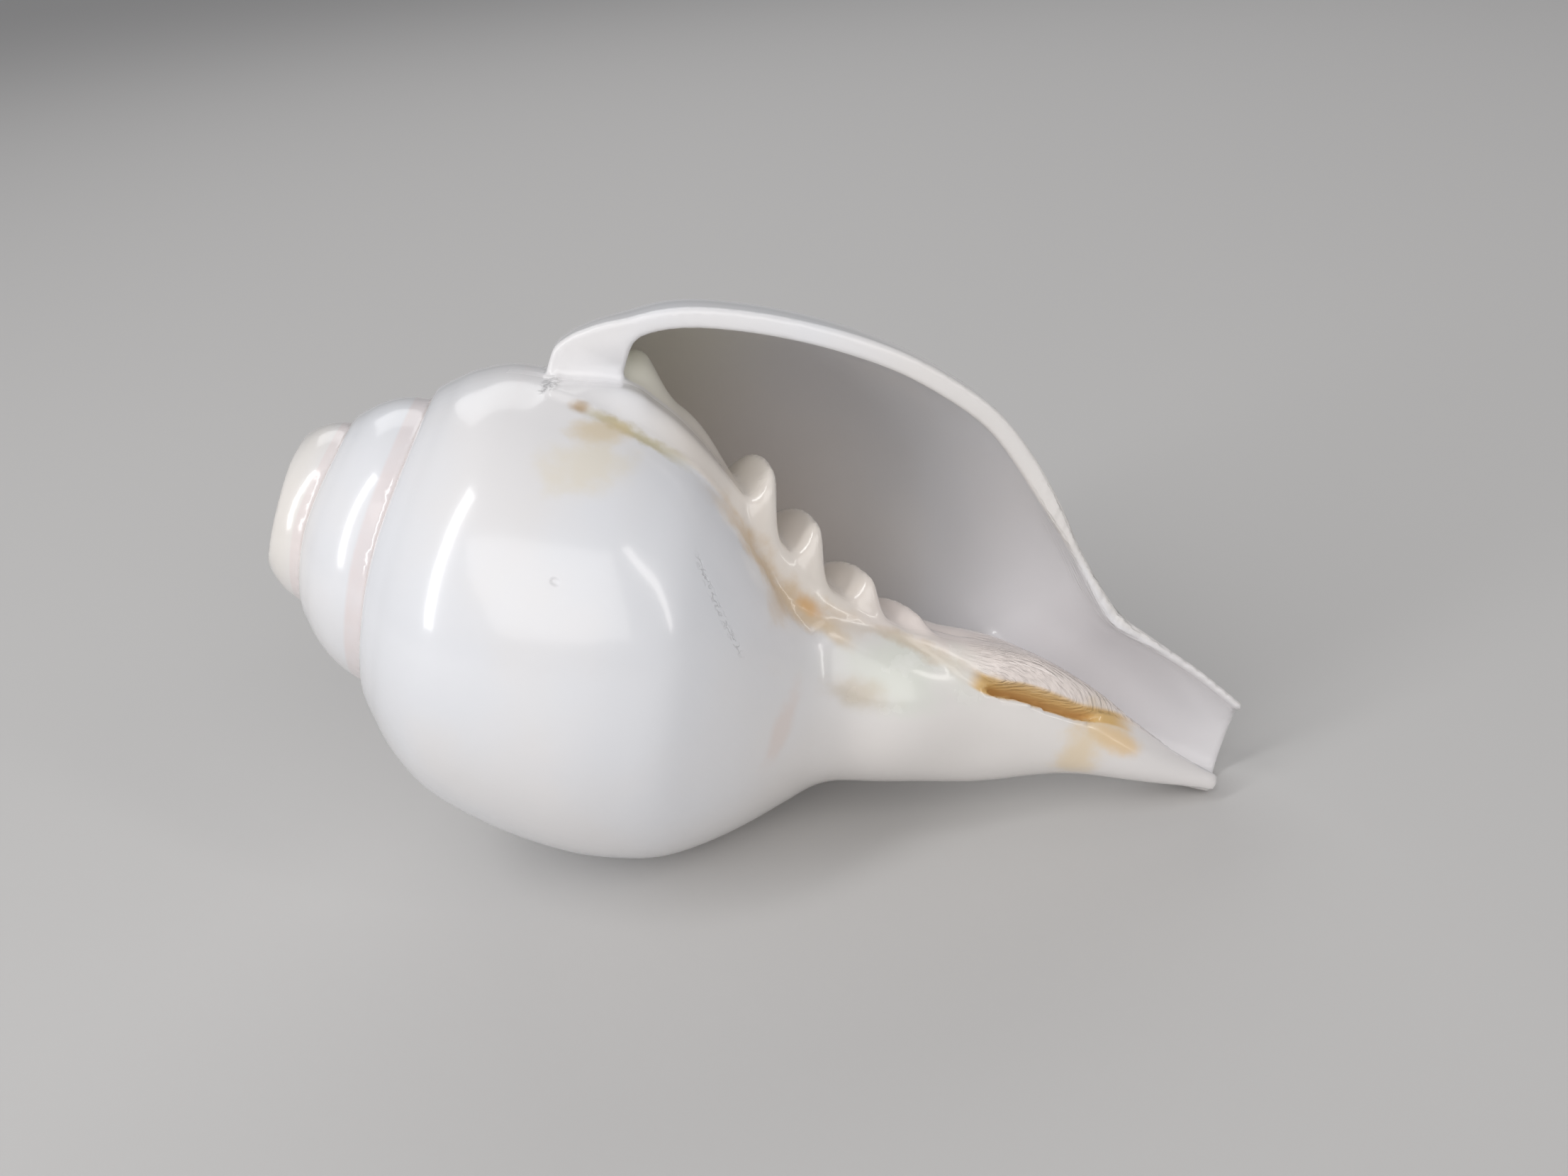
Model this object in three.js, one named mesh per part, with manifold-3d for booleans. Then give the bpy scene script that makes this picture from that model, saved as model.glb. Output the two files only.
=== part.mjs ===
// Sacred chank: the heavy white shell of a sea snail, polished, with the tip of the spire
// ground away. It is one piece. Every whorl is the same outline, turned about the coiling
// axis and grown by a fixed ratio, so the whole shell follows from one outline at the lip.
// Millimetres, +Z up. The shell lies with its lip upwards, on a small ground flat under the
// belly and on the tip of its canal. +X runs from the spire to the canal, the opening looks
// towards -Y, and the origin is the middle of the bounding box's bottom.

import * as THREE from "three";
import { mergeVertices } from "three/addons/utils/BufferGeometryUtils.js";
import Module from "manifold-3d";

const wasm = await Module();
wasm.setup();

const TURN = 2 * Math.PI;
const degrees = THREE.MathUtils.degToRad;

// Growth: each turn the outline is this much larger about the virtual apex at x = 0.
const WHORL_GROWTH = 1.62;
const GROWTH_RATE = Math.log(WHORL_GROWTH) / TURN;
const TURNS_KEPT = 3.3;

// Distances along the coiling axis, at the lip.
const SUTURE_AT = 38.5;
const CANAL_END = 141;
const CUT_APEX_AT = 10.9;

// Outline of the body whorl at the lip: [distance along the axis, radius].
const OUTLINE = [
  [39.5, 30.4], [41.5, 32.4], [45.5, 36.6], [52, 40.8], [60, 43.2], [70, 44.6], [80, 44.7],
  [88, 43.4], [95, 41.1], [101, 37.2], [107, 31.9], [112, 26.4], [116, 21.8], [120, 18],
  [125, 14], [132, 6], [136, 1],
];

// Inner lip at the same section: the wall over the last whorl, then the columella.
const INNER_LIP = [
  [44, 28.5], [46.5, 29.3], [50, 30], [53.5, 28.9], [57, 27.5], [61.5, 24.8], [66, 21.6],
  [70, 18.8], [74, 15.8], [78, 13.4], [82, 11.6], [88, 10.3], [92, 9.7], [98, 9.3],
  [104, 9.5], [109, 9.6], [114, 9], [120, 7.8], [126, 5.8], [131, 4.2], [136, 2.8], [141, 1.8],
];

// The four folds on the columella: place along the axis, height and half width.
const FOLDS = [
  { at: 70, height: 6, reach: 3.2 },
  { at: 77.8, height: 6, reach: 3.6 },
  { at: 86.6, height: 4, reach: 3.4 },
  { at: 94, height: 1.8, reach: 2.8 },
];
const FOLDS_FADE = degrees(60);

// The canal's outside radius at quarter turns: [distance along the axis, radius].
const CANAL = {
  lip: [[104, 20], [112, 22], [120, 18.8], [126, 17.7], [133, 15.9], [141, 12.8]],
  back: [[96, 12.7], [108, 12.3], [120, 10.6], [130, 9.3], [141, 8.2]],
  under: [[92, 15.2], [100, 13], [110, 10.2], [120, 6], [128, 3.2], [141, 0.5]],
  front: [[84, 10.4], [96, 10.8], [108, 7.8], [120, 6.1], [130, 4.6], [141, 1.5]],
};

const WALL = 2.9;
const CANAL_WALL = 2.6;
const BLEND = 6;
const CORE_RADIUS = 0.9;
const CALLUS = { from: degrees(8), to: degrees(52), sink: 3 };

// The ground tip: tilt of the cut, seen edge-on from the front.
const CUT_TILT = degrees(6.5);

// The slit beside the columella: [distance along the axis, degrees past the lip, depth].
const SLIT = [[104, -320, 0.3], [109, -324, 2], [115, -327, 2.4], [120, -331, 1.8], [126, -340, 0.3]];
const SLIT_WIDTH = 1.6;

// Pose: roll about the coiling axis, canal end down, and depth of the ground flat.
const ROLL = degrees(-2.6);
const PITCH = degrees(23.4);
const FLAT_DEPTH = 0.9;

const STEPS_PER_TURN = 40;

// Smooth curve through [place, value] points, as a function of the place.
function curveThrough(points) {
  const last = points.length - 1;
  const slope = (i) => {
    const a = points[Math.max(i - 1, 0)];
    const b = points[Math.min(i + 1, last)];
    return (b[1] - a[1]) / (b[0] - a[0]);
  };
  return (place) => {
    if (place <= points[0][0]) return points[0][1];
    if (place >= points[last][0]) return points[last][1];
    const i = points.findIndex((p) => p[0] > place) - 1;
    const [x0, y0] = points[i];
    const [x1, y1] = points[i + 1];
    const gap = x1 - x0;
    const u = (place - x0) / gap;
    const left = u * u * (3 - 2 * u);
    return (
      y0 * (1 - left) + y1 * left +
      gap * u * (1 - u) * (slope(i) * (1 - u) - slope(i + 1) * u)
    );
  };
}

const outline = curveThrough(OUTLINE);
const innerLip = curveThrough(INNER_LIP);
const canal = Object.fromEntries(
  Object.entries(CANAL).map(([side, points]) => [side, curveThrough(points)]),
);

const sizeAt = (t) => Math.exp(GROWTH_RATE * t);
const ramp = (v, from, to) => THREE.MathUtils.smoothstep(v, from, to);

function softMax(a, b, width = BLEND) {
  const h = THREE.MathUtils.clamp(0.5 + (a - b) / (2 * width), 0, 1);
  return b + (a - b) * h + width * h * (1 - h);
}

// Radius of the inner lip with its folds, t radians past the lip.
function innerRadius(along, t) {
  const size = sizeAt(t);
  const place = along / size;
  const fade = 1 - ramp(t, degrees(5), FOLDS_FADE);
  const folds = FOLDS.reduce((sum, fold) => {
    const off = Math.min(Math.abs(place - fold.at) / fold.reach, 1);
    return sum + fold.height * fade * Math.cos((off * Math.PI) / 2) ** 2;
  }, 0);
  return size * (innerLip(place) + folds);
}

// Outside radius of the canal between its quarter-turn curves.
function canalRadius(along, t) {
  const quarters = [innerLip, canal.front, canal.under, canal.back, canal.lip];
  const sides = quarters.map((side) => side(along));
  const quarter = THREE.MathUtils.clamp((t + TURN) / (TURN / 4), 0, 4);
  return curveThrough(sides.map((radius, i) => [i, radius]))(quarter);
}

// Outside radius of the last turn, with the callus that the inner lip spreads over it.
function outerRadius(along, t) {
  const size = sizeAt(t);
  let radius = size * outline(along / size);
  radius = softMax(radius, canalRadius(along, t));
  const past = t + TURN;
  const covered = past < CALLUS.to && along > INNER_LIP[0][0] * sizeAt(past);
  if (!covered) return radius;
  return Math.max(radius, innerRadius(along, past) - CALLUS.sink * ramp(past, CALLUS.from, CALLUS.to));
}

// Closed mesh from rings of points, each ring a loop of the same count.
function loft(rings, faceOf) {
  const count = rings[0].length;
  const position = rings.flat().flatMap((p) => [p.x, p.y, p.z]);
  const index = [];
  for (let i = 0; i < rings.length - 1; i++) {
    for (let j = 0; j < count; j++) {
      const next = (j + 1) % count;
      const [a, b] = [i * count + j, i * count + next];
      index.push(a, b, b + count, a, b + count, a + count);
    }
  }
  const base = (rings.length - 1) * count;
  const capOf = (i) => {
    const face = faceOf(i);
    const cap = THREE.ShapeUtils.triangulateShape(face, []);
    return THREE.ShapeUtils.isClockWise(face) ? cap.map(([a, b, c]) => [a, c, b]) : cap;
  };
  for (const [a, b, c] of capOf(0)) index.push(a, c, b);
  for (const [a, b, c] of capOf(rings.length - 1)) index.push(base + a, base + b, base + c);
  const geometry = new THREE.BufferGeometry();
  geometry.setAttribute("position", new THREE.Float32BufferAttribute(position, 3));
  geometry.setIndex(index);
  return geometry;
}

// Point at a radius and an angle past the lip, with the coiling axis along X.
function onShell(along, radius, t) {
  const halves = (2 * t) / TURN;
  const sine = Math.abs(halves - Math.round(halves)) < 1e-9 ? 0 : Math.sin(t);
  return new THREE.Vector3(along, -radius * sine, radius * Math.cos(t));
}

// Sweeps a loop of [along, radius] points about the axis, from one angle to another.
function sweep(loopAt, from, to, steps) {
  const loops = [];
  const rings = [];
  for (let i = 0; i <= steps; i++) {
    const t = from + ((to - from) * i) / steps;
    loops.push(loopAt(t));
    rings.push(loops[i].map(([along, radius]) => onShell(along, radius, t)));
  }
  return loft(rings, (i) => loops[i].map(([along, radius]) => new THREE.Vector2(along, radius)));
}

function solid(geometry) {
  const bare = geometry.clone();
  bare.deleteAttribute("normal");
  bare.deleteAttribute("uv");
  const merged = mergeVertices(bare, 1e-5);
  const made = new wasm.Manifold(
    new wasm.Mesh({
      numProp: 3,
      vertProperties: merged.attributes.position.array,
      triVerts: new Uint32Array(merged.index.array),
    }),
  );
  if (made.volume() > 0) return made;
  const turned = new Uint32Array(merged.index.array).reverse();
  return new wasm.Manifold(
    new wasm.Mesh({
      numProp: 3,
      vertProperties: merged.attributes.position.array,
      triVerts: turned,
    }),
  );
}

function meshOf(made) {
  const mesh = made.getMesh();
  const geometry = new THREE.BufferGeometry();
  geometry.setAttribute("position", new THREE.BufferAttribute(mesh.vertProperties, 3));
  geometry.setIndex(new THREE.BufferAttribute(mesh.triVerts, 1));
  return geometry;
}

// Places along the axis at which the last turn is cut into points.
const SHOULDER_PLACES = [38.5, 41.5, 46, 53, 61, 68];
const LOWER_START = 75;
const FOLD_PLACES = FOLDS.flatMap((fold) => [-1, -0.5, 0, 0.5].map((u) => fold.at + u * fold.reach));
const LIP_PLACES = [
  46.3, 50, 54, 58, 62, 65.5, ...FOLD_PLACES, 98, 103, 108, 113, 119, 125, 131, 136, CANAL_END,
];

function lastTurnLoop(t) {
  const size = sizeAt(t);
  const start = size * LOWER_START;
  const first = LIP_PLACES[0];
  const loop = [
    [size * (SUTURE_AT + 4), CORE_RADIUS * 0.6],
    [size * (SUTURE_AT - 0.8), size * 24],
  ];
  for (const place of SHOULDER_PLACES) loop.push([size * place, size * outline(place)]);
  for (const place of LIP_PLACES) {
    const along = start + ((CANAL_END - start) * (place - first)) / (CANAL_END - first);
    loop.push([along, outerRadius(along, t)]);
  }
  loop.push([CANAL_END, CORE_RADIUS * 0.6]);
  return loop;
}

function earlierTurnLoop(t) {
  const size = sizeAt(t);
  const places = [38.5, 41.5, 46, 53, 61, 70, 80];
  return [
    [size * (SUTURE_AT + 4), CORE_RADIUS * 0.6],
    [size * (SUTURE_AT - 0.8), size * 24],
    ...places.map((place) => [size * place, size * outline(place)]),
    [size * 80, CORE_RADIUS * 0.6],
  ];
}

const wallAt = (size) => WALL * size ** 0.6;

// The hollow that winds up the shell, between the inner lip and the outer wall.
function hollowLoop(t, innerPlaces, outerPlaces) {
  const size = sizeAt(t);
  const inner = innerPlaces.map((place) => [size * place, innerRadius(size * place, t)]);
  const outer = outerPlaces.map((place) => {
    const radius = size * outline(place);
    const least = innerRadius(size * place, t) + 0.8 * size;
    return [size * place, Math.max(radius - wallAt(size), least)];
  });
  return [...inner, ...outer.reverse()];
}

const HOLLOW_INNER = [47, 50, 54, 58, 62, 65.5, ...FOLD_PLACES, 98, 103, 108, 113, 117];
const HOLLOW_OUTER = [46, 48.5, 52, 57, 63, 70, 78, 86, 93, 99, 105, 110, 114, 118];
const DEEP_INNER = [47, 54, 62, 70, 78, 88, 100, 110];
const DEEP_OUTER = [46.5, 52, 60, 70, 80, 90, 100, 109];

// The open groove of the canal: sections across the axis, open towards the front. The floor
// runs round the columella and rises to meet the canal wall at the back.
function canalGroove() {
  const rings = [];
  const faces = [];
  for (const along of [99.3, 103, 107, 111, 115, 119.5, 124, 129, 135, CANAL_END + 2]) {
    const place = Math.min(along, CANAL_END);
    const inner = innerLip(place);
    const around = degrees(60) + degrees(45) * ramp(place, 100, CANAL_END);
    const ring = [[outerRadius(place, 0) - CANAL_WALL, 14], [inner, 14]];
    const steps = 6;
    for (let i = 0; i <= 2 * steps; i++) {
      const share = 1 - Math.abs(i / steps - 1);
      const turned = around * Math.sin((share * Math.PI) / 2);
      const outer = outerRadius(place, -turned) - CANAL_WALL;
      const meet = Math.max((inner + outer) / 2, inner + 0.6);
      const radius = i <= steps ? inner : Math.max(outer, inner + 0.6);
      const bent = radius + (meet - radius) * share ** 4;
      ring.push([bent * Math.cos(turned), -bent * Math.sin(turned)]);
    }
    faces.push(ring.map(([up, front]) => new THREE.Vector2(up, front)));
    rings.push(ring.map(([up, front]) => new THREE.Vector3(along, -front, up)));
  }
  return loft(rings, (i) => faces[i]);
}

// A narrow wedge along the slit, deepest in its middle.
function slitWedge() {
  const faces = [];
  const rings = SLIT.map(([along, turned, depth]) => {
    const t = degrees(turned);
    const radius = outerRadius(along, t);
    const half = SLIT_WIDTH / 2 / radius;
    const corners = [[radius + 2, t - 2 * half], [radius + 2, t + 2 * half], [radius - depth, t]];
    return corners.map(([r, angle]) => onShell(along, r, angle));
  });
  for (const ring of rings) faces.push(ring.map((p) => new THREE.Vector2(p.z, -p.y)));
  return loft(rings, (i) => faces[i]);
}

function buildBody() {
  let body = solid(sweep(lastTurnLoop, -TURN, -TURN / 2, STEPS_PER_TURN / 2));
  body = body.add(solid(sweep(lastTurnLoop, -TURN / 2, 0, STEPS_PER_TURN / 2)));
  for (let half = 2; half < 2 * TURNS_KEPT; half++) {
    const from = (-TURN * (half + 1)) / 2;
    body = body.add(solid(sweep(earlierTurnLoop, from, from + TURN / 2, 12)));
  }
  const core = new THREE.CylinderGeometry(CORE_RADIUS, CORE_RADIUS, CANAL_END - 4, 12);
  core.rotateZ(Math.PI / 2).translate((CANAL_END + 4) / 2, 0, 0);
  return body.add(solid(core));
}

function hollowOut(body) {
  const near = (t) => hollowLoop(t, HOLLOW_INNER, HOLLOW_OUTER);
  const deep = (t) => hollowLoop(t, DEEP_INNER, DEEP_OUTER);
  let left = body.subtract(solid(sweep(near, -TURN / 2, 0, 18)));
  left = left.subtract(solid(sweep(near, -TURN, -TURN / 2, 14)));
  for (let half = 2; half < 2 * TURNS_KEPT - 1; half++) {
    const from = (-TURN * (half + 1)) / 2;
    left = left.subtract(solid(sweep(deep, from, from + TURN / 2, 8)));
  }
  return left.subtract(solid(canalGroove()));
}

// Turns the shell to the way it lies, and grinds the small flat that it rests on.
function layDown(made) {
  const geometry = meshOf(made).rotateX(ROLL).rotateY(PITCH);
  geometry.computeBoundingBox();
  const floor = geometry.boundingBox.min.z + FLAT_DEPTH;
  const below = new THREE.BoxGeometry(400, 400, 20).translate(0, 0, floor - 10);
  const rested = meshOf(solid(geometry).subtract(solid(below)));
  rested.computeBoundingBox();
  const { min, max } = rested.boundingBox;
  return rested.translate(-(min.x + max.x) / 2, -(min.y + max.y) / 2, -min.z);
}

const tipCut = new THREE.BoxGeometry(40, 60, 60).translate(-20, 0, 0);
tipCut.rotateZ(CUT_TILT).translate(CUT_APEX_AT, 0, 0);
const carved = hollowOut(buildBody()).subtract(solid(slitWedge())).subtract(solid(tipCut));

const shell = new THREE.Mesh(
  layDown(carved),
  new THREE.MeshStandardMaterial({ color: 0xf3efe9, roughness: 0.22, metalness: 0 }),
);
shell.name = "shell";
const root = new THREE.Group();
root.add(shell);

export default root;
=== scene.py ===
import math

import bpy
from mathutils import Euler, Matrix, Vector


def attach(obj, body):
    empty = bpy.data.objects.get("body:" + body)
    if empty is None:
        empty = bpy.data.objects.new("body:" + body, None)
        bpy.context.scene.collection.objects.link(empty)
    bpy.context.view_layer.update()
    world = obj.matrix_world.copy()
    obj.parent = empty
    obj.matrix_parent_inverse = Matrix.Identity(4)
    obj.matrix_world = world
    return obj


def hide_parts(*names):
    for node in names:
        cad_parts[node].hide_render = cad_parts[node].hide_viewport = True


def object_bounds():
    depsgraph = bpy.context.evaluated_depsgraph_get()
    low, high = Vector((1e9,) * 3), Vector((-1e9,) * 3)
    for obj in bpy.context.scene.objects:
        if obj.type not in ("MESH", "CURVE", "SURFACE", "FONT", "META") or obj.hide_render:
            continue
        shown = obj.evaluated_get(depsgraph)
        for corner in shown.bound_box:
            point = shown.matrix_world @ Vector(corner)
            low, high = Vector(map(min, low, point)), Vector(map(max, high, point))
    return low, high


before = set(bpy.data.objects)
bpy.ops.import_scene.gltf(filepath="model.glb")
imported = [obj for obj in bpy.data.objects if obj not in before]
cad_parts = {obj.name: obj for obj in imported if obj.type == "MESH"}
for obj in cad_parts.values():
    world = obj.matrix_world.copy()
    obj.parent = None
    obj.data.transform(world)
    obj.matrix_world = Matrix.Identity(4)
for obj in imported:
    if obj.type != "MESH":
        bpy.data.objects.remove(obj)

SIZE_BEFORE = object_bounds()

TURN = 2 * math.pi
MM = 0.001
AXES = ((1, 0, 0), (0, 1, 0), (0, 0, 1))

# Growth of the coil and the places along its axis, in millimetres, as in the solid.
WHORL_GROWTH = 1.62
CANAL_END = 141.0
TIP_CUT_AT = 10.9
TIP_CUT_TILT = math.radians(6.5)
WALL = 2.6
CANAL_WALL = 2.6
CANAL_BLEND = 3.0
HEEL_RISE = 1.4
LIP_ROUNDING = 1.1
HOLLOW_TURNS = 2.2
SLIT_HALF_WIDTH = 0.7
SLIT_DEPTH = 3.4

# Grid of the grown skin: its cell, the box it fills, how far from the skin distances count,
# the step for slopes, how often points move onto the skin, and the share of triangles kept.
CELL = 0.64
BOX_LOW, BOX_HIGH = Vector((8, -38, -41)), Vector((143.5, 42, 48))
NEAR = 4.0
LEVEL = 5.0
SLOPE_STEP = 0.05
SKIN_STEPS = 3
TRIANGLES_KEPT = 0.53

# Points in each curve node, and a distance that is never near the skin.
CURVE_STEPS = 56
FAR = 20.0

# Outline of the body whorl at the lip: place along the axis and radius.
OUTLINE = [
    (37, 24), (38.4, 28.6), (39.6, 30.6), (41.5, 32.6), (45.5, 36.6), (52, 40.8), (60, 43.2),
    (70, 44.6), (80, 44.7), (88, 43.4), (95, 41.1), (101, 37.2), (107, 31.9), (112, 26.4),
    (116, 21.8), (120, 18), (125, 14), (132, 6), (136, 1),
]

# The inner lip without its folds, at the same section.
INNER_LIP = [
    (44, 28.5), (46.5, 29.3), (50, 30), (53.5, 28.9), (57, 27.5), (61.5, 24.8), (66, 21.6),
    (70, 18.8), (74, 15.8), (78, 13.4), (82, 11.6), (88, 10.3), (92, 9.7), (98, 9.9),
    (104, 10.8), (109, 11.2), (114, 10.5), (120, 8.8), (126, 6.4), (131, 4.5), (136, 2.9),
    (141, 1.8),
]

# The folds of the columella: place along the axis, height and half width.
FOLDS = [(70.0, 6.0, 3.2), (77.8, 6.0, 3.6), (86.6, 4.0, 3.4), (94.0, 1.8, 2.8)]

# Ridges that start inside the mouth, beside the notch.
RIDGES = [(50.8, 3.6, 6.8), (61.0, 1.4, 9.0)]

# Where the inner lip ends on the last turn: degrees in front of the lip, along the axis.
LIP_EDGE = [
    (38, 12), (44.4, 14.4), (50, 16), (57.4, 17.8), (68.3, 18.5), (74.9, 23.4), (79.5, 26.8),
    (86, 25), (93.1, 23.6), (99, 31), (105.4, 39), (110.4, 35), (115, 33), (119.6, 30),
    (125.8, 15), (134, 6), (141, 4),
]

# Outside radius of the canal at quarter turns from the inner lip round to the outer lip.
CANAL = {
    "inner": INNER_LIP,
    "front": [(84, 10.4), (96, 10.8), (108, 7.4), (120, 5.6), (130, 4.2), (141, 1.5)],
    "under": [(92, 15.2), (100, 13), (110, 10.2), (120, 5.6), (128, 2.9), (141, 0.5)],
    "back": [(96, 12.7), (108, 12.3), (120, 10.6), (130, 9.3), (141, 8.2)],
    "lip": [(104, 20), (112, 22.6), (120, 19.1), (126, 17.8), (133, 15.9), (141, 12.8)],
}

# The upper side of the spire runs along and out of the even coil: places along the axis
# between which that fades, and how far it runs at each.
SPIRE_LEAN = (31.0, 43.0, 2.2, 0.0)
SPIRE_SWELL = (22.0, 46.0, 2.1, 0.0)

# Stains on the front: place along the axis, degrees in front of the lip, half length,
# half width, turn in degrees, colour and strength.
STAINS = [
    (48.2, 20.5, 6.0, 2.6, -16, (0.72, 0.57, 0.33), 0.65),
    (48.0, 32.0, 8.5, 4.0, -14, (0.84, 0.75, 0.56), 0.5),
    (44.8, 15.0, 2.2, 0.9, 0, (0.52, 0.38, 0.24), 0.9),
    (79.7, 28.0, 3.4, 2.2, 10, (0.74, 0.45, 0.20), 0.85),
    (84.5, 40.0, 5.0, 3.0, 30, (0.72, 0.56, 0.36), 0.6),
    (89.3, 74.0, 7.5, 5.0, -12, (0.62, 0.52, 0.38), 0.6),
    (81.0, 97.0, 2.2, 9.0, 0, (0.80, 0.62, 0.54), 0.35),
    (76.0, 38.0, 3.2, 6.0, 0, (0.72, 0.58, 0.44), 0.5),
    (124.2, 42.0, 8.0, 9.0, 0, (0.84, 0.60, 0.32), 0.85),
    (121.2, 84.0, 5.0, 26.0, 0, (0.82, 0.66, 0.44), 0.75),
    (106.8, 40.0, 3.4, 3.0, 0, (0.80, 0.58, 0.34), 0.6),
]

# The pose of the coiling axis: roll, canal end down, and where its apex lies.
ROLL = math.radians(-2.6)
PITCH = math.radians(23.4)
APEX = Vector((-70.592, -4.283, 58.873))

# The camera on the shell's own axis: roll, pitch and yaw in degrees, what it aims at and how
# far its eye is from there, and its lens.
CAMERA_TURNS = (25.772, -5.179, 17.348)
AIM = Vector((70, 0, 0))
EYE_OFFSET = Vector((9.104, 5.766, 216.8))
SENSOR = 36.0
FIELD_OF_VIEW = math.radians(52)

# The stage, in metres. Light panels: name, place, width, height, watts and colour.
FLOOR_REACH = 3.0
FLOOR_HEIGHT = -0.0002
LIT_AT = (0, 0, 0.03)
PANELS = [
    ("window", (-0.44, -0.36, 0.44), 0.12, 0.8, 2.2, (1, 1, 1)),
    ("doorway", (0.68, -0.42, 0.45), 0.07, 0.6, 0.7, (1.0, 0.97, 0.94)),
    ("room", (0.2, -1.3, 0.9), 1.6, 1.2, 8.5, (1.0, 0.98, 0.96)),
    ("back", (-0.1, 0.6, 0.6), 0.8, 0.4, 1.2, (1, 1, 1)),
]


def pose_matrix():
    """From the shell's own axis to the resting pose, in millimetres."""
    turn = Euler((0, PITCH, 0)).to_matrix() @ Euler((ROLL, 0, 0)).to_matrix()
    return Matrix.Translation(APEX) @ turn.to_4x4()


def curve_through(points):
    """A smooth curve through points, as a function of the first coordinate."""
    last = len(points) - 1

    def slope(i):
        a, b = points[max(i - 1, 0)], points[min(i + 1, last)]
        return (b[1] - a[1]) / (b[0] - a[0])

    def value(place):
        if place <= points[0][0]:
            return points[0][1]
        if place >= points[-1][0]:
            return points[-1][1]
        i = max(k for k in range(last) if points[k][0] <= place)
        gap = points[i + 1][0] - points[i][0]
        u = (place - points[i][0]) / gap
        left = u * u * (3 - 2 * u)
        bend = slope(i) * (1 - u) - slope(i + 1) * u
        return points[i][1] * (1 - left) + points[i + 1][1] * left + gap * u * (1 - u) * bend

    return value


class Value:
    """A number that a node tree works out, written as ordinary sums."""

    def __init__(self, sheet, socket):
        self.sheet = sheet
        self.socket = socket

    def __add__(self, other):
        return self.sheet.math("ADD", self, other)

    def __sub__(self, other):
        return self.sheet.math("SUBTRACT", self, other)

    def __mul__(self, other):
        return self.sheet.math("MULTIPLY", self, other)

    def __truediv__(self, other):
        return self.sheet.math("DIVIDE", self, other)

    def __radd__(self, other):
        return self.sheet.math("ADD", other, self)

    def __rsub__(self, other):
        return self.sheet.math("SUBTRACT", other, self)

    def __rmul__(self, other):
        return self.sheet.math("MULTIPLY", other, self)

    def __neg__(self):
        return self.sheet.math("MULTIPLY", self, -1.0)


class Sheet:
    """A node tree with short names for the steps used in this file."""

    def __init__(self, name, kind="GeometryNodeTree"):
        self.tree = bpy.data.node_groups.new(name, kind)
        self.source = self.tree.nodes.new("NodeGroupInput")
        self.sink = self.tree.nodes.new("NodeGroupOutput")

    def node(self, kind, **settings):
        made = self.tree.nodes.new(kind)
        for key, value in settings.items():
            setattr(made, key, value)
        return made

    def plug(self, socket, value):
        if isinstance(value, Value):
            self.tree.links.new(value.socket, socket)
        elif isinstance(value, bpy.types.NodeSocket):
            self.tree.links.new(value, socket)
        else:
            socket.default_value = value

    def take(self, name, kind="NodeSocketFloat", default=None):
        made = self.tree.interface.new_socket(name=name, in_out="INPUT", socket_type=kind)
        if default is not None:
            made.default_value = default
        return Value(self, self.source.outputs[made.name])

    def give(self, name, value, kind="NodeSocketFloat"):
        self.tree.interface.new_socket(name=name, in_out="OUTPUT", socket_type=kind)
        self.plug(self.sink.inputs[name], value)

    def math(self, operation, *values):
        made = self.node("ShaderNodeMath", operation=operation)
        for socket, value in zip(made.inputs, values):
            self.plug(socket, value)
        return Value(self, made.outputs[0])

    def vector(self, operation, *values):
        made = self.node("ShaderNodeVectorMath", operation=operation)
        for socket, value in zip(made.inputs, values):
            self.plug(socket, value)
        return made

    def soft_max(self, a, b, width):
        return self.math("SMOOTH_MAX", a, b, width)

    def soft_min(self, a, b, width):
        return self.math("SMOOTH_MIN", a, b, width)

    def ramp(self, value, start, end, low=0.0, high=1.0):
        made = self.node("ShaderNodeMapRange", interpolation_type="SMOOTHSTEP")
        ends = {"From Min": start, "From Max": end, "To Min": low, "To Max": high}
        for name, number in ends.items():
            self.plug(made.inputs[name], number)
        self.plug(made.inputs["Value"], value)
        return Value(self, made.outputs["Result"])

    def limit(self, value, low, high):
        return self.math("MINIMUM", self.math("MAXIMUM", value, low), high)

    def curve(self, value, points):
        """Reads a curve through points; its box is scaled to the curve's own."""
        shape = curve_through(points)
        start, end = points[0][0], points[-1][0]
        top = max(p[1] for p in points) * 1.05
        made = self.node("ShaderNodeFloatCurve")
        mapping = made.mapping
        line = mapping.curves[0]
        line.points[0].location = (0.0, shape(start) / top)
        line.points[1].location = (1.0, shape(end) / top)
        for i in range(1, CURVE_STEPS):
            place = start + (end - start) * i / CURVE_STEPS
            line.points.new(i / CURVE_STEPS, shape(place) / top)
        mapping.update()
        self.plug(made.inputs["Value"], (value - start) * (1 / (end - start)))
        return Value(self, made.outputs[0]) * top

    def call(self, tree, **values):
        made = self.node("GeometryNodeGroup")
        made.node_tree = tree
        for name, value in values.items():
            self.plug(made.inputs[name.replace("_", " ")], value)
        return {s.name: Value(self, s) for s in made.outputs}


def upper_side(sheet, angle):
    """One on the side of the spire that is uppermost, none on the other."""
    return sheet.ramp(sheet.math("COSINE", angle + math.radians(25)), -0.4, 0.95)


def quarter_weight_sheet():
    """How much one quarter-turn curve of the canal counts, by its distance in quarters."""
    s = Sheet("Quarter weight")
    away = s.math("ABSOLUTE", s.take("Away"))
    near = away * away * (1.5 * away - 2.5) + 1.0
    far = ((2.5 - 0.5 * away) * away - 4.0) * away + 2.0
    outside = s.math("GREATER_THAN", away, 1.0)
    within = s.math("LESS_THAN", away, 2.0)
    s.give("Weight", near * (1.0 - outside) + far * outside * within)
    return s.tree


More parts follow.
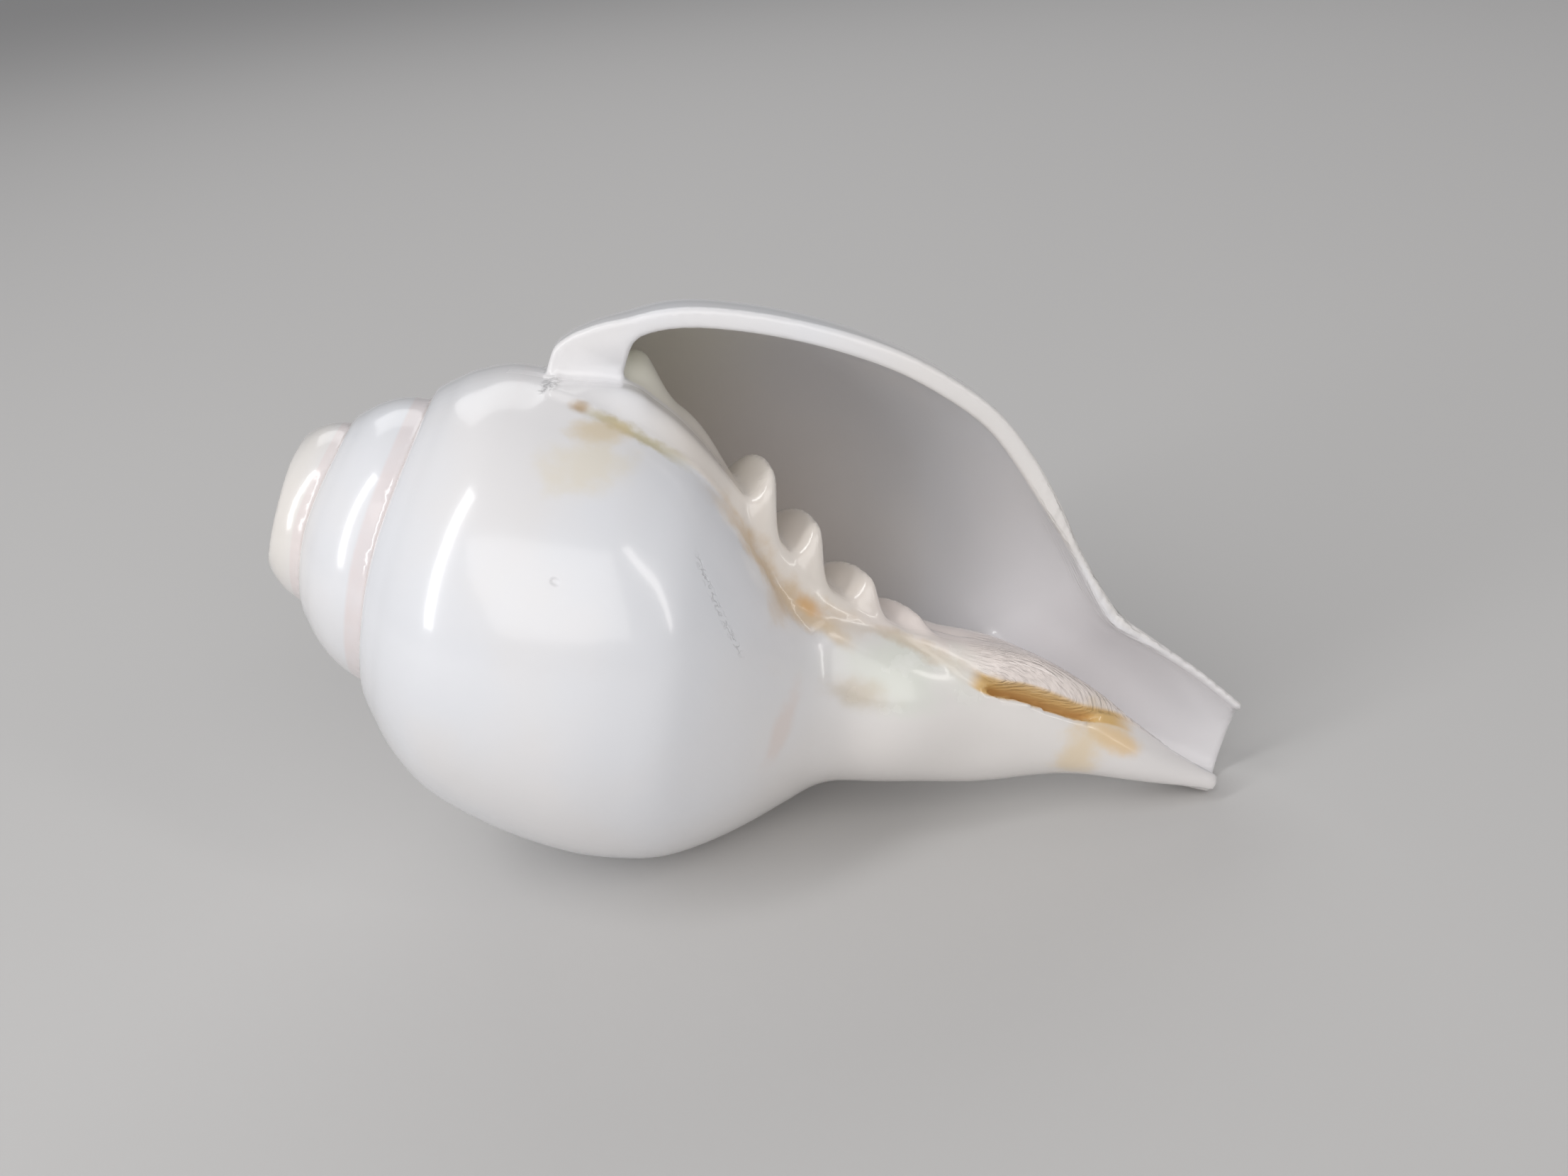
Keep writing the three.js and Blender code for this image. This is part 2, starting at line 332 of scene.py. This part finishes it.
def whorl_sheet():
    """One turn of the coil: distances to its outside and to its hollow."""
    s = Sheet("Whorl")
    along = s.take("Along")
    radius = s.take("Radius")
    turned = s.take("Turned")
    growth = s.take("Growth")
    wall = s.take("Wall")
    size = s.math("EXPONENT", turned * s.math("LOGARITHM", growth, math.e) * (1 / TURN))
    place = along / size
    heel = (1.0 - s.ramp(place, 40.0, 48.0)) * s.ramp(turned, -0.5, -0.1) * HEEL_RISE
    outline = s.curve(place, OUTLINE) + heel
    slope = (s.curve(place + 0.6, OUTLINE) - s.curve(place - 0.6, OUTLINE)) / 1.2
    steep = s.math("SQRT", slope * slope + 1.0)
    side = (radius - size * outline) / steep
    top = (38.6 - place) * size
    outside = s.soft_max(side, top, 0.7)
    lip = s.curve(place, INNER_LIP)
    fade = 1.0 - s.ramp(turned, math.radians(1), math.radians(19))
    within = s.ramp(turned, -0.36, -0.03, 1.0, 0.0) * s.ramp(turned, -2.6, -1.2)
    for swellings, share in ((FOLDS, fade), (RIDGES, within)):
        for at, height, reach in swellings:
            off = s.math("MINIMUM", s.math("ABSOLUTE", place - at) / reach, 1.0)
            bump = s.math("COSINE", off * (math.pi / 2))
            lip = lip + bump * bump * share * height
    inner = lip * size
    thin = s.ramp(place, 106.0, 118.0) * s.ramp(turned, -0.7, -0.1) * 0.5
    thick = wall * s.math("POWER", size, 0.6) * (1.0 - thin)
    hollow = s.soft_max(inner - radius, side + thick, 1.2)
    top_end = s.ramp(turned, -0.8, -0.1, 45.6, 48.4)
    hollow = s.soft_max(hollow, (top_end - place) * size, 2.4)
    hollow = s.soft_max(hollow, (place - 117.5) * size, 2.0)
    s.give("Outside", outside)
    s.give("Hollow", hollow)
    s.give("Inner radius", inner)
    s.give("Outer radius", size * outline)
    return s.tree


def shell_sheet(whorl, quarter_weight):
    """The whole shell as a distance: below zero inside the wall."""
    s = Sheet("Shell")
    spot = s.take("Spot", "NodeSocketVector")
    growth = s.take("Growth")
    wall = s.take("Wall")
    canal_wall = s.take("Canal wall")
    split = s.node("ShaderNodeSeparateXYZ")
    s.plug(split.inputs[0], spot)
    along, across, up = (Value(s, out) for out in split.outputs)
    radius = s.math("SQRT", across * across + up * up + 0.0001)
    angle = s.math("ARCTAN2", -across, up)
    tip = (TIP_CUT_AT - along) * math.cos(TIP_CUT_TILT) - across * math.sin(TIP_CUT_TILT)

    # The spire leans a little: its turns run further along and out on the upper side.
    upper = upper_side(s, angle)
    lean = upper * s.ramp(along, *SPIRE_LEAN)
    swell = upper * s.ramp(along, *SPIRE_SWELL)
    along = along - lean
    radius = s.math("MAXIMUM", radius - swell, 0.01)

    # Turns, from the last one, which ends at the lip, inwards.
    turns = []
    for k in range(4):
        turns.append(s.call(whorl, Along=along, Radius=radius, Turned=angle - TURN * k,
                            Growth=growth, Wall=wall))

    # The canal takes over from the outline of the last turn towards its end.
    def canal_radius(turned):
        quarter = s.limit(s.math("MULTIPLY", s.math("ADD", turned, TURN), 4 / TURN), 0.0, 4.0)
        sides = [s.curve(along, CANAL[name]) for name in ("inner", "front", "under", "back", "lip")]
        sides = [2.0 * sides[0] - sides[1]] + sides + [2.0 * sides[4] - sides[3]]
        total = None
        for i, side in enumerate(sides):
            weight = s.call(quarter_weight, Away=quarter - float(i - 1))["Weight"]
            total = side * weight if total is None else total + side * weight
        return total

    end = along - CANAL_END - s.math("MAXIMUM", across, 0.0) * 0.25 - (12.6 - up) * 0.12
    last = []
    canals = []
    for k in range(2):
        canal = canal_radius(angle - TURN * k)
        canals.append(canal)
        rod = s.soft_max(radius - canal, end, 1.0)
        rod = s.soft_max(rod, 82.0 - along, 2.0)
        if k:
            rod = s.math("MAXIMUM", rod, s.ramp(angle, -0.6, -0.3, FAR, -FAR))
        width = s.ramp(angle - TURN * k, math.radians(-70), math.radians(-5), 3.0, 8.4)
        body = s.soft_min(turns[k]["Outside"], rod, width)
        last.append(s.soft_max(body, end, 1.0))

    # The outer lip stops at a half plane through the axis.
    before_lip = radius * s.math("SINE", s.limit(angle, -TURN / 4, TURN / 4))
    lip_turn = s.soft_max(last[0], before_lip, 0.8)

    # The inner lip spreads over the last turn in front of the mouth, up to a low edge.
    edge = s.curve(along, LIP_EDGE) * math.radians(1)
    under = s.soft_max(turns[1]["Outer radius"], canals[1], 1.0)
    spread = s.math("MAXIMUM", turns[0]["Inner radius"] - under, 0.0)
    spread = spread * (1.0 - s.ramp(angle, edge * 0.4, edge - math.radians(1)))
    past_edge = (angle - edge) * radius
    rise = s.ramp(along, 90.0, 99.0, 0.55, 1.6) * s.ramp(along, 110.0, 132.0, 1.0, 0.0)
    rise = rise + s.ramp(along, 43.0, 50.0, 0.6, 0.0)
    step = rise * (1.0 - s.ramp(past_edge, -0.7, 0.4)) * s.ramp(before_lip, -0.4, 6.0)
    callus = radius - under - spread - step + s.ramp(past_edge, 0.0, 6.0) * 2.0
    callus = s.soft_max(callus, 40.2 - along, 0.8)
    callus = s.soft_max(callus, end, 1.0)
    callus = s.math("MAXIMUM", callus, s.ramp(angle, 1.2, 1.6, -FAR, FAR))
    callus = s.math("MAXIMUM", callus, s.ramp(angle, -0.6, -0.3, FAR, -FAR))

    solid = s.soft_min(lip_turn, last[1], 0.4)
    solid = s.soft_min(solid, turns[2]["Outside"], 0.3)
    solid = s.soft_min(solid, turns[3]["Outside"], 0.2)
    solid = s.soft_min(solid, callus, s.ramp(along, 44.0, 52.0, 2.4, 0.4))

    # The groove of the canal runs from the hollow to the end, open towards the front.
    around = s.ramp(along, 100.0, CANAL_END) * math.radians(45) + math.radians(60)
    outer = s.soft_max(turns[0]["Outer radius"], canals[0], CANAL_BLEND)
    thin = s.ramp(angle, math.radians(-70), math.radians(-15), 1.0, 0.45)
    skin = canal_wall * thin + s.ramp(along, 98.0, 116.0, 3.4, 0.0)
    groove = s.soft_max(turns[0]["Inner radius"] - radius, radius - outer + skin, 1.2)
    groove = s.soft_max(groove, radius * (-1.0 * angle - around), 1.5)
    groove = s.soft_max(groove, 98.0 - along, 2.0)
    mouth = s.soft_min(turns[0]["Hollow"], groove, 2.5)
    mouth = s.soft_max(mouth + s.ramp(before_lip, 0.0, 1.0), before_lip - 1.5, 0.5)
    past_end = (-HOLLOW_TURNS * TURN - (angle - 2 * TURN)) * radius
    deep = s.math("MAXIMUM", turns[2]["Hollow"], past_end)
    hollow = s.soft_min(mouth, turns[1]["Hollow"], 0.3)
    hollow = s.soft_min(hollow, deep, 0.3)
    rounding = s.ramp(radius - turns[0]["Inner radius"], 0.5, 8.0, 0.15, LIP_ROUNDING)
    solid = s.soft_max(solid, -hollow, rounding)

    # The slit below the edge of the inner lip.
    closed = 1.0 - s.ramp(along, 102.5, 107.0) * s.ramp(along, 119.0, 128.0, 1.0, 0.0)
    slit = s.math("ABSOLUTE", past_edge - 0.35) + closed * 2.0
    slit = slit - SLIT_HALF_WIDTH * (1.0 + solid / SLIT_DEPTH)
    solid = s.soft_max(solid, -slit, 0.3)

    # The ends: the canal's cut and the ground tip.
    solid = s.soft_max(solid, end, 0.6)
    solid = s.soft_max(solid, tip, 0.5)

    s.give("Distance", solid)
    s.give("Hollow", hollow)
    return s.tree


def build_tree():
    """Grows the shell's skin from its distances, in millimetres on its own axis."""
    shell = shell_sheet(whorl_sheet(), quarter_weight_sheet())
    s = Sheet("Chank shell")
    cell = s.take("Cell", default=1.0)
    growth = s.take("Growth per turn", default=WHORL_GROWTH)
    wall = s.take("Wall", default=WALL)
    canal_wall = s.take("Canal wall", default=CANAL_WALL)
    material = s.take("Material", "NodeSocketMaterial")

    def distance(spot):
        return s.call(shell, Spot=spot, Growth=growth, Wall=wall, Canal_wall=canal_wall)

    spot = s.node("GeometryNodeInputPosition").outputs[0]
    block = s.node("GeometryNodeVolumeCube")
    s.plug(block.inputs["Density"], LEVEL - s.limit(distance(spot)["Distance"], -NEAR, NEAR))
    block.inputs["Min"].default_value = BOX_LOW
    block.inputs["Max"].default_value = BOX_HIGH
    for name, extent in zip("XYZ", BOX_HIGH - BOX_LOW):
        count = s.math("ROUND", s.math("DIVIDE", extent, cell))
        s.plug(block.inputs["Resolution " + name], count)
    skin = s.node("GeometryNodeVolumeToMesh", resolution_mode="GRID")
    s.plug(skin.inputs["Volume"], block.outputs[0])
    skin.inputs["Threshold"].default_value = LEVEL
    geometry = skin.outputs[0]

    # Each point steps onto the true surface.
    for _ in range(SKIN_STEPS):
        here = distance(spot)["Distance"]
        slopes = []
        for axis in AXES:
            moved = s.vector("ADD", spot, Vector(axis) * SLOPE_STEP).outputs[0]
            slopes.append((distance(moved)["Distance"] - here) / SLOPE_STEP)
        combine = s.node("ShaderNodeCombineXYZ")
        for socket, value in zip(combine.inputs, slopes):
            s.plug(socket, value)
        length = s.vector("DOT_PRODUCT", combine.outputs[0], combine.outputs[0]).outputs["Value"]
        share = s.limit(s.math("DIVIDE", here, s.math("ADD", length, 0.02)), -0.5, 0.5)
        back = s.node("ShaderNodeVectorMath", operation="SCALE")
        s.plug(back.inputs[0], combine.outputs[0])
        s.plug(back.inputs["Scale"], s.math("MULTIPLY", share, -1.0))
        move = s.node("GeometryNodeSetPosition")
        s.plug(move.inputs["Geometry"], geometry)
        s.plug(move.inputs["Offset"], back.outputs[0])
        geometry = move.outputs[0]

    # The finish needs to know how far inside the mouth each point lies.
    store = s.node("GeometryNodeStoreNamedAttribute", data_type="FLOAT", domain="POINT")
    store.inputs["Name"].default_value = "inside"
    s.plug(store.inputs["Value"], s.ramp(distance(spot)["Hollow"], 0.25, 1.3, 1.0, 0.0))
    s.plug(store.inputs["Geometry"], geometry)

    smooth = s.node("GeometryNodeSetShadeSmooth")
    s.plug(smooth.inputs[0], store.outputs[0])
    whole = s.node("GeometryNodeRealizeInstances")
    s.plug(whole.inputs[0], smooth.outputs[0])
    finish = s.node("GeometryNodeSetMaterial")
    s.plug(finish.inputs["Geometry"], whole.outputs[0])
    s.plug(finish.inputs["Material"], material)
    s.give("Geometry", finish.outputs[0], "NodeSocketGeometry")
    return s.tree


def set_inputs(modifier, values):
    """Sets a modifier's inputs by the identifiers of their sockets."""
    for item in modifier.node_group.interface.items_tree:
        if item.in_out == "INPUT" and item.name in values:
            modifier[item.identifier] = values[item.name]


def grow_shell(material):
    """The shell as a plain mesh, in its resting pose."""
    seed = bpy.data.objects.new("shell seed", bpy.data.meshes.new("shell seed"))
    bpy.context.scene.collection.objects.link(seed)
    growth = seed.modifiers.new("growth", "NODES")
    growth.node_group = build_tree()
    set_inputs(growth, {"Cell": CELL, "Growth per turn": WHORL_GROWTH, "Wall": WALL,
                        "Canal wall": CANAL_WALL, "Material": material})
    lighter = seed.modifiers.new("fewer triangles", "DECIMATE")
    lighter.ratio = TRIANGLES_KEPT
    graph = bpy.context.evaluated_depsgraph_get()
    made = bpy.data.meshes.new_from_object(seed.evaluated_get(graph))
    bpy.data.objects.remove(seed)
    made.transform(Matrix.Scale(MM, 4) @ pose_matrix())
    return made


def keep_in_size(mesh):
    """Grinds the belly and the canal's tip flat, and keeps all within the solid's size."""
    low, high = (Vector(corner) for corner in SIZE_BEFORE)
    for vertex in mesh.vertices:
        for axis in range(3):
            vertex.co[axis] = min(max(vertex.co[axis], low[axis]), high[axis])


class Finish(Sheet):
    """A material's node tree, with the shell's own directions worked out from the object."""

    def __init__(self, material):
        material.use_nodes = True
        self.tree = material.node_tree
        self.shader = self.tree.nodes["Principled BSDF"]
        self.point = self.node("ShaderNodeTexCoord").outputs["Object"]
        turn = pose_matrix().to_3x3()
        offset = self.vector("SUBTRACT", self.point, APEX * MM).outputs[0]
        spot = []
        for axis in AXES:
            way = self.vector("DOT_PRODUCT", offset, (turn @ Vector(axis)) / MM)
            spot.append(Value(self, way.outputs["Value"]))
        self.along, self.across, self.up = spot
        self.radius = self.math("SQRT", self.across * self.across + self.up * self.up)
        self.angle = self.math("ARCTAN2", -self.across, self.up)
        edge = self.curve(self.along, LIP_EDGE) * math.radians(1)
        self.past_edge = (self.angle - edge) * self.radius

    def attribute(self, name):
        made = self.node("ShaderNodeAttribute", attribute_name=name)
        return Value(self, made.outputs["Fac"])

    def speckle(self, scale, detail=2.0, vector=None):
        """Noise around 0.5; scale is features per metre."""
        made = self.node("ShaderNodeTexNoise")
        self.plug(made.inputs["Vector"], vector or self.point)
        made.inputs["Scale"].default_value = scale
        made.inputs["Detail"].default_value = detail
        return Value(self, made.outputs[0])

    def lines(self, around, along, detail=2.0):
        """Noise drawn out along the axis: features per mm round it and along it."""
        combine = self.node("ShaderNodeCombineXYZ")
        self.plug(combine.inputs[0], self.angle * self.radius * around)
        self.plug(combine.inputs[1], self.along * along)
        return self.speckle(1.0, detail, combine.outputs[0])

    def blot(self, at, degrees, long, wide, turn=0.0, ragged=0.4, grain=300.0, size=16.0):
        """A soft spot at a place along the axis and degrees in front of the lip."""
        along = self.along - at
        round_it = (self.angle - math.radians(degrees)) * size
        c, n = math.cos(math.radians(turn)), math.sin(math.radians(turn))
        u = (along * c + round_it * n) / long
        v = (round_it * c - along * n) / wide
        away = self.math("SQRT", u * u + v * v)
        away = away + (self.speckle(grain, 3.0) - 0.5) * (2.0 * ragged)
        share = self.ramp(away, 0.0, 1.0, 1.0, 0.0)
        return share * share * (3.0 - 2.0 * share)

    def mix(self, base, colour, amount):
        made = self.node("ShaderNodeMix", data_type="RGBA")
        first, second = [socket for socket in made.inputs if socket.type == "RGBA"]
        self.plug(made.inputs["Factor"], amount)
        self.plug(first, base + (1.0,) if isinstance(base, tuple) else base)
        self.plug(second, colour + (1.0,))
        return next(socket for socket in made.outputs if socket.type == "RGBA")


def shell_finish():
    """Polished porcelain white with its stains, all from places on the shell's own axis."""
    material = bpy.data.materials.new("polished_shell")
    f = Finish(material)
    along, angle, radius, past_edge = f.along, f.angle, f.radius, f.past_edge
    on_face = f.ramp(angle * radius, -1.6, -0.4) * f.ramp(radius, 22.0, 28.0)
    inside = f.attribute("inside") * (1.0 - on_face)
    outside = 1.0 - inside
    in_front = f.ramp(angle, -0.1, 0.05)
    broad = f.speckle(28.0, 3.0)
    fine = f.speckle(260.0, 4.0)

    # Porcelain white, a little blue on the body, partly the shell's own tint and partly painted
    # reflection of the bluish room; warmer towards the neck and the ground tip.
    colour = f.mix((0.85, 0.86, 0.895), (0.87, 0.855, 0.86), f.ramp(broad, 0.38, 0.62))
    colour = f.mix(colour, (0.81, 0.77, 0.735), f.ramp(along, 66.0, 96.0) * outside * 0.75)
    colour = f.mix(colour, (0.82, 0.79, 0.78), f.ramp(along, 118.0, 134.0) * outside)
    colour = f.mix(colour, (0.85, 0.80, 0.74), f.ramp(along, 19.0, 13.0) * 0.7)

    # The last strip before each suture shows pink through the thin edge over it.
    upper = upper_side(f, angle)
    lean = upper * f.ramp(along, *SPIRE_LEAN)
    turns = f.math("LOGARITHM", (along - lean) / 38.5, WHORL_GROWTH) - angle * (1 / TURN)
    share = f.math("FRACT", turns + 8.0)
    strip = f.ramp(share, 0.78, 0.83) * f.ramp(along, 38.0, 33.0) * outside
    colour = f.mix(colour, (0.84, 0.74, 0.73), strip * (0.35 + 0.5 * fine))
    rim = f.ramp(share, 0.0, 0.05, 1.0, 0.0) + f.ramp(share, 0.96, 1.0)
    colour = f.mix(colour, (0.80, 0.70, 0.66), rim * f.ramp(along, 38.0, 34.0) * outside * 0.45)

    # Inside, the wall is creamy grey brown by the columella and clears towards the lip.
    deep = f.ramp(angle, -1.9, -0.25, 1.0, 0.0)
    colour = f.mix(colour, (0.90, 0.89, 0.79), inside * f.ramp(along, 72.0, 50.0) * 0.85)
    colour = f.mix(colour, (0.90, 0.80, 0.71), inside * deep * f.ramp(along, 104.0, 70.0) * 0.8)
    colour = f.mix(colour, (0.84, 0.82, 0.835), inside * f.ramp(along, 86.0, 108.0) * 0.8)
    lip = f.curve(along, INNER_LIP)
    inner = f.ramp(radius - lip - f.ramp(along, 96.0, 84.0) * 5.0, 4.0, 2.5)
    inner = inner * f.ramp(along, 48.0, 62.0) * f.ramp(angle, -0.9, -0.45)
    columella = inner * f.ramp(past_edge, 0.3, -0.6)
    colour = f.mix(colour, (0.88, 0.80, 0.71), columella * f.ramp(along, 98.0, 84.0) * 0.75)
    past_folds = f.ramp(along, 82.0, 96.0) * f.ramp(along, 136.0, 124.0)
    colour = f.mix(colour, (0.88, 0.78, 0.73), columella * past_folds * 0.8)

    # The neck in front of the inner lip's edge is greenish white, with chalky clouds.
    neck = f.blot(94.0, 52.0, 15.0, 9.0, turn=-8.0, ragged=0.5, grain=150.0, size=11.0) * outside
    colour = f.mix(colour, (0.78, 0.80, 0.73), neck * 0.85)
    clouds = f.ramp(f.speckle(190.0, 5.0), 0.52, 0.66) * neck
    colour = f.mix(colour, (0.90, 0.90, 0.86), clouds * 0.6)

    # Stains: olive by the heel, orange brown along the edge, ochre in the slit. By the neck, the
    # brown line along the edge is partly stain and partly painted shade along its step.
    front = outside * in_front
    wobble = (f.speckle(330.0, 4.0) - 0.5) * 3.0
    line = f.ramp(f.math("ABSOLUTE", past_edge - 0.3 + wobble), 1.4, 0.1)
    wide_line = f.ramp(f.math("ABSOLUTE", past_edge - 0.9 + wobble * 1.4), 3.0, 0.2)
    by_heel = f.ramp(along, 43.0, 49.0) * f.ramp(along, 62.0, 54.0)
    by_folds = f.ramp(along, 60.0, 70.0) * f.ramp(along, 90.0, 80.0) * front
    stain_and_shade_by_neck = f.ramp(along, 84.0, 92.0) * f.ramp(along, 106.0, 96.0) * front
    colour = f.mix(colour, (0.50, 0.43, 0.22), line * by_heel * 0.75)
    colour = f.mix(colour, (0.66, 0.48, 0.28), wide_line * by_folds * 0.8)
    # Partly stain, partly painted shade: a brown line where the inner lip's edge steps down by the
    # neck.
    colour = f.mix(colour, (0.56, 0.42, 0.26), line * stain_and_shade_by_neck * 0.5)
    for at, degrees, long, wide, turn, tint, amount in STAINS:
        spot = f.blot(at, degrees, long, wide, turn=turn)
        colour = f.mix(colour, tint, spot * front * amount)
    slit = f.ramp(f.math("ABSOLUTE", past_edge - 0.3), 1.05, 0.6)
    slit = slit * f.ramp(along, 102.5, 105.0) * f.ramp(along, 129.0, 124.0) * outside
    colour = f.mix(colour, (0.74, 0.47, 0.16), slit * 0.9)
    f.tree.links.new(colour, f.shader.inputs["Base Color"])

    # The lip is ground to a dull face; the ribbon beside the slit is finely ridged.
    outer_wall = f.ramp(radius - 26.0 + f.ramp(along, 50.0, 110.0) * 12.0, 0.0, 2.0)
    face = f.ramp(f.math("ABSOLUTE", angle * radius + 0.3), 1.1, 0.7) * outer_wall
    ribbon = f.ramp(along, 100.0, 107.0) * f.ramp(along, 132.0, 122.0)
    ribbon = ribbon * f.ramp(past_edge, 0.1, -0.5) * f.ramp(angle, -0.25, 0.0)
    rough = 0.24 + face * 0.3 + inside * 0.12 + clouds * 0.2 + ribbon * 0.06
    f.plug(f.shader.inputs["Roughness"], rough)
    f.shader.inputs["Coat Weight"].default_value = 0.65
    f.shader.inputs["Coat Roughness"].default_value = 0.1

    # Hand polishing leaves slow waves; growth leaves fine lines along the axis.
    ridges = f.lines(3.2, 0.35, 2.0) * ribbon
    growth = f.lines(0.9, 0.05, 3.0)
    waves = f.speckle(60.0, 2.0) * 0.12 + f.speckle(150.0, 1.0) * 0.018
    height = waves + growth * 0.012 + ridges * 0.75
    from_scratch = (angle - math.radians(56.0)) * 24.0 - (along - 68.2) * 1.05
    scratch = f.ramp(f.math("ABSOLUTE", from_scratch), 0.9, 0.1)
    scratch = scratch * f.ramp(f.math("ABSOLUTE", along - 68.2), 5.2, 3.6)
    scratch = scratch * f.ramp(f.lines(1.6, 1.6, 4.0), 0.50, 0.56)
    height = height - scratch * 0.10
    pit = f.blot(48.8, 62.2, 1.0, 0.8, ragged=0.1, size=29.8)
    height = height - pit * 0.15
    # The end of the heel is chipped and rough.
    chipped = f.blot(40.4, 7.0, 1.8, 4.5, ragged=0.3, size=28.0) * f.ramp(radius, 26.0, 28.0)
    height = height + f.ramp(f.speckle(700.0, 3.0), 0.42, 0.58) * chipped * 0.4
    bump = f.node("ShaderNodeBump")
    bump.inputs["Strength"].default_value = 1.0
    bump.inputs["Distance"].default_value = MM
    f.plug(bump.inputs["Height"], height)
    f.tree.links.new(bump.outputs[0], f.shader.inputs["Normal"])
    return material


def set_camera():
    """The photograph's camera, found by fitting the coil's outline."""
    roll, pitch, yaw = (math.radians(turned) for turned in CAMERA_TURNS)
    swap = Matrix(((1, 0, 0), (0, 0, 1), (0, -1, 0)))
    turn = Matrix.Rotation(yaw, 3, "Z").transposed() @ Matrix.Rotation(pitch, 3, "Y").transposed()
    look = (turn @ Matrix.Rotation(roll, 3, "X") @ swap).transposed()
    eye = AIM + look @ EYE_OFFSET
    pose = pose_matrix()
    camera = bpy.data.cameras.new("camera")
    camera.sensor_width = SENSOR
    camera.lens = SENSOR / 2 / math.tan(FIELD_OF_VIEW / 2)
    camera.clip_start, camera.clip_end = 0.01, 10.0
    holder = bpy.data.objects.new("camera", camera)
    holder.matrix_world = Matrix.Translation(pose @ eye * MM) @ (pose.to_3x3() @ look).to_4x4()
    bpy.context.scene.collection.objects.link(holder)
    bpy.context.scene.camera = holder


def add_panel(name, place, width, height, power, colour):
    """A soft light panel that faces the shell."""
    lamp = bpy.data.lights.new(name, "AREA")
    lamp.shape = "RECTANGLE"
    lamp.size, lamp.size_y = width, height
    lamp.energy = power
    lamp.color = colour
    holder = bpy.data.objects.new(name, lamp)
    holder.location = place
    way = Vector(LIT_AT) - Vector(place)
    holder.rotation_euler = way.to_track_quat("-Z", "Y").to_euler()
    bpy.context.scene.collection.objects.link(holder)


def set_stage():
    """A plain pale floor, a window at the left and soft light from the room."""
    reach, height = FLOOR_REACH, FLOOR_HEIGHT
    floor = bpy.data.meshes.new("floor")
    corners = [(-reach, -reach, height), (reach, -reach, height), (reach, reach, height),
               (-reach, reach, height)]
    floor.from_pydata(corners, [], [(0, 1, 2, 3)])
    paper = bpy.data.materials.new("pale paper")
    paper.use_nodes = True
    shader = paper.node_tree.nodes["Principled BSDF"]
    shader.inputs["Base Color"].default_value = (0.62, 0.61, 0.6, 1)
    shader.inputs["Roughness"].default_value = 0.85
    floor.materials.append(paper)
    holder = bpy.data.objects.new("floor", floor)
    bpy.context.scene.collection.objects.link(holder)
    for panel in PANELS:
        add_panel(*panel)
    world = bpy.data.worlds.new("studio")
    bpy.context.scene.world = world
    world.use_nodes = True
    background = world.node_tree.nodes["Background"]
    background.inputs["Color"].default_value = (0.86, 0.87, 0.9, 1)
    background.inputs["Strength"].default_value = 0.32
    bpy.context.scene.view_settings.view_transform = "Standard"


def main():
    material = shell_finish()
    mesh = grow_shell(material)
    keep_in_size(mesh)
    shell = bpy.data.objects.new("polished_shell", mesh)
    bpy.context.scene.collection.objects.link(shell)
    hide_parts("shell")
    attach(shell, "root")
    set_stage()
    set_camera()


main()
